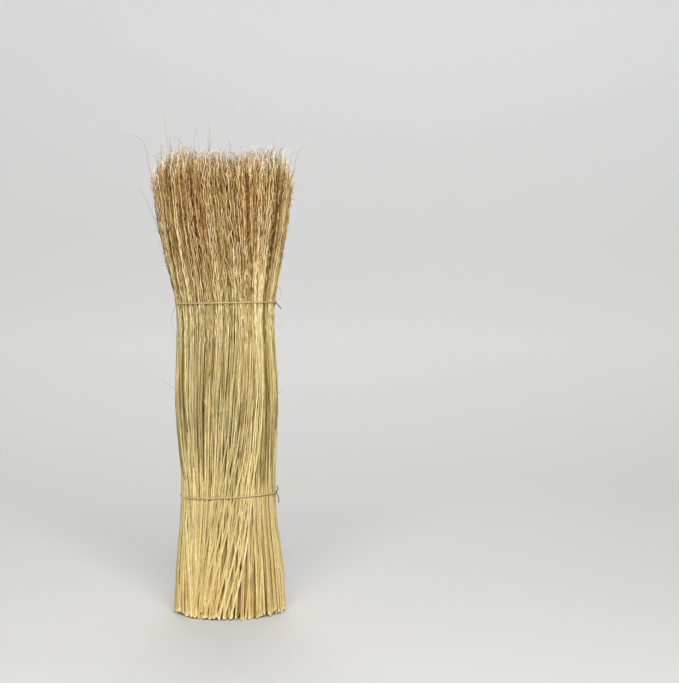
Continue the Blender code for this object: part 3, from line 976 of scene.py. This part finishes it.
def cut_pith():
    """Spongy pith where the stalks are cut off: matt, cream-white and mottled by its cells."""
    material, tree, shader, place = new_material("cut_pith", 0.9)
    cells = {"Vector": place, "Scale": 1000 * PITH_GRAINS_IN_MM, "Detail": 2.0}
    grain = add_node(tree, "ShaderNodeTexNoise", cells).outputs["Fac"]
    stops = [(0.3, linear("D9C594")), (0.7, linear("F6EBCB"))]
    colour = add_node(tree, "ShaderNodeValToRGB", {"Fac": grain}, stops)
    tree.links.new(colour.outputs["Color"], shader.inputs["Base Color"])
    return material


def twine_material(name, dark, middle, pale):
    """Thin natural twine: dull, grey-brown, with darker grooves between its hairs."""
    material, tree, shader, place = new_material(name, 0.9)
    grain = {"Vector": place, "Scale": 1000 * TWINE_GRAINS_IN_MM, "Detail": 4.0}
    hairs = add_node(tree, "ShaderNodeTexNoise", grain).outputs["Fac"]
    stops = [(0.28, linear(dark)), (0.5, linear(middle)), (0.75, linear(pale))]
    colour = add_node(tree, "ShaderNodeValToRGB", {"Fac": hairs}, stops)
    tree.links.new(colour.outputs["Color"], shader.inputs["Base Color"])
    relief = {"Height": hairs, "Strength": 0.7, "Distance": 0.0002}
    bump = add_node(tree, "ShaderNodeBump", relief)
    tree.links.new(bump.outputs["Normal"], shader.inputs["Normal"])
    return material


def tie_line(bundle, level, tilt, rise, dip=None):
    """Points round the bundle where the middle of the twine lies, from the knot round to the knot."""
    angles = np.linspace(KNOT_ANGLE, KNOT_ANGLE + 360.0, TIE_POINTS)
    heights = level + tilt * np.sin(np.radians(angles)) + rise * np.cos(np.radians(angles))
    points = bundle.places(bundle.number_at(off_angle(angles, 0.0), level), heights)
    out, _, _ = bundle.directions(points)
    off = np.full(len(angles), STEM_HALF_WIDTH + PLY_OFF)
    if dip:
        middle, width, depth = dip
        off -= depth * np.exp(-(((angles - middle) / width) ** 2))
    return points + out * off[:, None]


def knot_line(centre, along, turns, radius, length):
    """A few tight turns round the twine."""
    along = unit(np.array(along))
    side = unit(np.cross(along, (0.0, 0.0, 1.0)))
    front = np.cross(along, side)
    share = np.linspace(0.0, 1.0, KNOT_POINTS)[:, None]
    turn = 2 * math.pi * turns * share
    around = np.cos(turn) * side + np.sin(turn) * front
    return centre + along * (share - 0.5) * length + radius * around


def plies(line, girth):
    """The two plies of a twine along this line, as lists of points. A thin twine has a girth under one."""
    steps = np.linalg.norm(np.diff(line, axis=0), axis=1)
    far = np.concatenate(([0.0], np.cumsum(steps)))
    at = np.linspace(0.0, far[-1], int(far[-1] / TWINE_TURN * POINTS_IN_A_TURN))
    middle = np.stack([np.interp(at, far, line[:, axis]) for axis in range(3)], axis=-1)
    along = unit(np.gradient(middle, axis=0))
    side = np.eye(3)[np.abs(along[0]).argmin()]
    sides = []
    for direction in along:
        side = side - direction * side.dot(direction)
        side /= np.linalg.norm(side)
        sides.append(side)
    sides = np.array(sides)
    fronts = np.cross(along, sides)
    turn = (2 * math.pi * at / TWINE_TURN)[:, None]
    off = girth * PLY_OFF * (np.cos(turn) * sides + np.sin(turn) * fronts)
    return middle + off, middle - off


def add_spline(curve, points, girth, slot=0):
    """Adds a strand along these points, with its share of a ply's width and its material slot."""
    spline = curve.splines.new("POLY")
    spline.material_index = slot
    spline.points.add(len(points) - 1)
    spline.points.foreach_set("co", np.insert(points, 3, 1.0, axis=1).ravel())
    spline.points.foreach_set("radius", np.full(len(points), girth))


def twine_hairs(dice, line):
    """Short ends of fibre that stand off the twine."""
    for _ in range(TWINE_HAIRS):
        root = line[dice.integers(len(line))]
        lean = unit(dice.normal(0.0, 1.0, 3)) * dice.uniform(*HAIR_LENGTH)
        bend = dice.normal(0.0, HAIR_BEND, 3)
        yield np.array([root, root + lean * 0.5 + bend, root + lean])


def twine(name, lines, hairs, node, materials):
    """Twine along these lines, each with its girth and material slot, and each ply a round strand of its
    own.
    """
    curve = bpy.data.curves.new(name, "CURVE")
    curve.dimensions = "3D"
    curve.bevel_depth = PLY_HALF_WIDTH
    curve.bevel_resolution = 1
    curve.use_fill_caps = True
    for material in materials:
        curve.materials.append(material)
    for line, girth, slot in lines:
        for ply in plies(line, girth):
            add_spline(curve, ply, girth, slot)
    for hair in hairs:
        add_spline(curve, hair, HAIR_GIRTH)
    piece = linked(name, curve)
    bpy.ops.object.select_all(action="DESELECT")
    piece.select_set(True)
    bpy.context.view_layer.objects.active = piece
    bpy.ops.object.convert(target="MESH")
    piece = bpy.context.object
    piece.name = name
    bpy.ops.object.mode_set(mode="EDIT")
    bpy.ops.mesh.select_all(action="SELECT")
    bpy.ops.mesh.remove_doubles(threshold=CAP_GAP)
    bpy.ops.mesh.normals_make_consistent(inside=False)
    bpy.ops.object.mode_set(mode="OBJECT")
    piece.data.shade_smooth()
    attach(piece, "root")
    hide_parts(node)


def tie_twines(bundle):
    plain_twine = twine_material("natural_twine", "94825C", "BEA97C", "D8C59C")
    # The knot's turns and its tails take the darker twine: painted shade, for the shade they stand in
    # against the light
    painted_shade_twine = twine_material("natural_twine_painted_shade", "544934", "776A4E", "998A6B")
    ties = (
        ("lower_twine", "lower_tie", LOWER_TIE, TWINE_DIP, LOWER_TAILS),
        ("upper_twine", "upper_tie", UPPER_TIE, None, UPPER_TAILS),
    )
    for order, (name, node, place, dip, tails) in enumerate(ties):
        dice = np.random.default_rng([SEED, TWINES_SEED + order])
        line = tie_line(bundle, *place, dip)
        knot = line[0]
        turns = knot_line(knot, line[1] - line[0], KNOT_TURNS, KNOT_RADIUS, KNOT_LENGTH)
        # Slot one is the twine painted darker for shade
        lines = [(line, 1.0, 0), (turns, 1.0, 1)]
        for bend, end in tails:
            lines.append((smooth_curve([knot, bend, end], TAIL_POINTS), TAIL_GIRTH, 1))
        twine(name, lines, twine_hairs(dice, line), node, (plain_twine, painted_shade_twine))


# Studio: a round floor that sweeps up into a wall, in a paper grey that evens out the light on it
FLOOR_RADIUS = 1.3
SWEEP_RADIUS = 2.3
WALL_HEIGHT = 3.4
SWEEP_STEPS = 18
SWEEP_SIDES = 160
PAPER_BY_HEIGHT = (
    (0.00, "CBCBC9"),
    (0.26, "DEDEDC"),
    (0.70, "E3E3E3"),
    (1.20, "E9E9EA"),
    (1.60, "ECECED"),
)
# The softboxes that light the bunch have grids, which keep their light off the side walls
GRID_SPREAD = 115.0
MIDDLE_OF_BUNCH = (0.0, 0.0, 0.30)


def studio_sweep():
    """Matt studio paper, which takes soft shadows and has no shine."""
    bpy.ops.object.select_all(action="DESELECT")
    bpy.ops.mesh.primitive_circle_add(vertices=SWEEP_SIDES, radius=FLOOR_RADIUS, fill_type="NGON")
    sweep = bpy.context.object
    sweep.name = "studio_sweep"
    bpy.ops.object.mode_set(mode="EDIT")
    bpy.ops.mesh.select_mode(type="EDGE")
    bpy.ops.mesh.select_all(action="SELECT")
    bpy.ops.mesh.region_to_loop()
    radius = FLOOR_RADIUS
    height = 0.0
    for step in range(1, SWEEP_STEPS + 2):
        turn = math.pi / 2 * min(step / SWEEP_STEPS, 1.0)
        next_radius = FLOOR_RADIUS + SWEEP_RADIUS * math.sin(turn)
        next_height = SWEEP_RADIUS * (1 - math.cos(turn)) if step <= SWEEP_STEPS else WALL_HEIGHT
        bpy.ops.mesh.extrude_edges_move(
            TRANSFORM_OT_translate={"value": (0.0, 0.0, next_height - height)}
        )
        bpy.ops.transform.resize(value=(next_radius / radius, next_radius / radius, 1.0))
        radius = next_radius
        height = next_height
    bpy.ops.object.mode_set(mode="OBJECT")
    sweep.data.shade_smooth()
    material, tree, shader, place = new_material("pale_grey_paper", 0.9)
    up = add_node(tree, "ShaderNodeSeparateXYZ", {"Vector": place}).outputs["Z"]
    top = PAPER_BY_HEIGHT[-1][0]
    share = add_node(tree, "ShaderNodeMapRange", {"Value": up, "From Max": top}).outputs["Result"]
    stops = [(at / top, linear(colour)) for at, colour in PAPER_BY_HEIGHT]
    grey = add_node(tree, "ShaderNodeValToRGB", {"Fac": share}, stops)
    tree.links.new(grey.outputs["Color"], shader.inputs["Base Color"])
    sweep.data.materials.append(material)
    sweep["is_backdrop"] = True


def softbox(name, place, aim, size, watts, spread=180.0):
    light = bpy.data.lights.new(name, "AREA")
    light.shape = "SQUARE"
    light.size = size
    light.energy = watts
    light.spread = math.radians(spread)
    lamp = linked(name, light)
    lamp.location = place
    lamp.rotation_euler = (Vector(aim) - Vector(place)).to_track_quat("-Z", "Y").to_euler()
    lamp.visible_camera = False


def studio():
    studio_sweep()
    world = bpy.data.worlds.new("soft_sky")
    world.use_nodes = True
    background = world.node_tree.nodes["Background"]
    background.inputs["Color"].default_value = linear("F7F6F4")
    background.inputs["Strength"].default_value = 0.28
    bpy.context.scene.world = world
    softbox("front_left", (-0.3, -2.7, 1.8), MIDDLE_OF_BUNCH, 1.0, 21.0, GRID_SPREAD)
    softbox("front_right", (0.7, -2.6, 1.8), MIDDLE_OF_BUNCH, 1.0, 25.5, GRID_SPREAD)
    softbox("behind", (-0.15, 2.3, 2.2), MIDDLE_OF_BUNCH, 1.2, 10.0, GRID_SPREAD)
    softbox("paper", (0.3, 1.4, 3.0), (0.3, 3.2, 0.9), 1.8, 23.0)
    bpy.context.scene.view_settings.view_transform = "Standard"


def camera():
    lens = bpy.data.cameras.new("camera")
    lens.sensor_fit = "HORIZONTAL"
    lens.sensor_width = SENSOR_MM
    lens.lens = FOCAL_PIXELS * SENSOR_MM / PHOTO_WIDTH
    seat = linked("camera", lens)
    seat.location = CAMERA_PLACE
    seat.rotation_euler = (math.radians(90.0 - CAMERA_DOWN), 0.0, 0.0)
    bpy.context.scene.camera = seat


def main():
    packed_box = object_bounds()
    bpy.ops.object.select_all(action="DESELECT")
    camera()
    studio()
    rind = straw("broomcorn_rind", roughness=0.42, specular=0.25)
    fibre = straw("broomcorn_fibre", roughness=0.55, specular=0.15)
    materials = [rind, cut_pith(), fibre]
    grower = Grower(Bundle(frame["nodes"]))
    dice = np.random.default_rng([SEED, ROWS_SEED])
    grow_outer_stalks(grower, materials)
    grow_between(grower, dice, materials)
    grow_inner_rows(grower, dice, materials)
    tie_twines(grower.bundle)
    boxes = {"packed": packed_box, "visual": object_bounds()}
    {name: [list(corner) for corner in box] for name, box in boxes.items()}


main()
